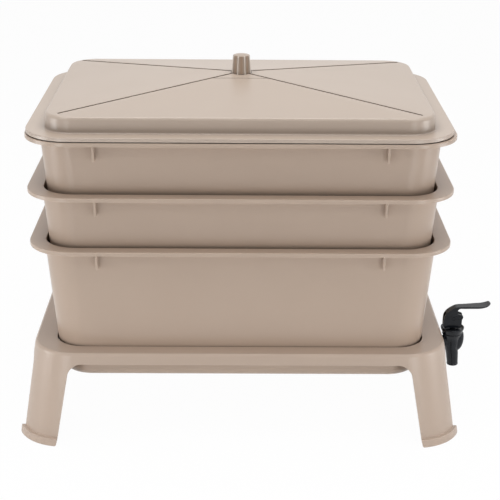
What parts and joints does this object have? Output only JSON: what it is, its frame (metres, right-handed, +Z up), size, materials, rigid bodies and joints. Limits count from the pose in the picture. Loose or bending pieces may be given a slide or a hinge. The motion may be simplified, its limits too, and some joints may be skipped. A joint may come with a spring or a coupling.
{
  "type": "wormery",
  "caption": "Stacking wormery: splayed stand, liquid collector with a lever tap, nested working trays and a vented lid with a fluted knob.",
  "frame": {"origin": "on the floor, under the middle of the whole outline from the left feet to the tap's lever tip", "axes": "+X to the right along the trays towards the tap, +Y to the back, +Z up"},
  "size_m": [0.6516, 0.432, 0.4907],
  "materials": {
    "stand_plastic": "satin moulded",
    "tray_plastic": "satin moulded",
    "lid_plastic": "satin moulded",
    "tap_plastic": "semi gloss",
    "seal_rubber": "matte",
    "silicone": "satin",
    "steel": "plated"
  },
  "bodies": {
    "base": {"stand": "stand_plastic", "collector_tray": "tray_plastic", "tap_body": "tap_plastic", "tap_outer_washer": "seal_rubber", "tap_inner_washer": "seal_rubber", "tap_nut": "tap_plastic", "tap_bonnet": "tap_plastic"},
    "middle_tray": {"middle_working_tray": "tray_plastic"},
    "top_tray": {"top_working_tray": "tray_plastic"},
    "lid": {"lid": "lid_plastic", "lid_knob": "lid_plastic", "knob_washer": "steel", "knob_screw": "steel"},
    "tap_stem": {"tap_stem": "tap_plastic", "tap_seat_cup": "silicone"},
    "tap_lever": {"tap_lever": "tap_plastic", "tap_lever_pin": "tap_plastic"}
  },
  "joints": [
    {"name": "middle_tray_lift", "type": "slide", "parent": "base", "child": "middle_tray", "axis": [0, 0, 1], "range_m": [0, 0.15]},
    {"name": "top_tray_lift", "type": "slide", "parent": "middle_tray", "child": "top_tray", "axis": [0, 0, 1], "range_m": [0, 0.15]},
    {"name": "lid_lift", "type": "slide", "parent": "top_tray", "child": "lid", "axis": [0, 0, 1], "range_m": [0, 0.12]},
    {"name": "tap_stem_rise", "type": "slide", "parent": "base", "child": "tap_stem", "axis": [0, 0, 1], "range_m": [0, 0.004]},
    {"name": "tap_lever_press", "type": "hinge", "parent": "tap_stem", "child": "tap_lever", "pos_m": [0.2745, -0.09, 0.1375], "axis": [0, 1, 0], "range_deg": [0, 25], "stiffness_Nm_per_rad": 0.3, "springref_deg": -8.59}
  ],
  "couplings": [
    {"joint": "tap_stem_rise", "follows": "tap_lever_press", "m_per_rad": 0.0085}
  ]
}
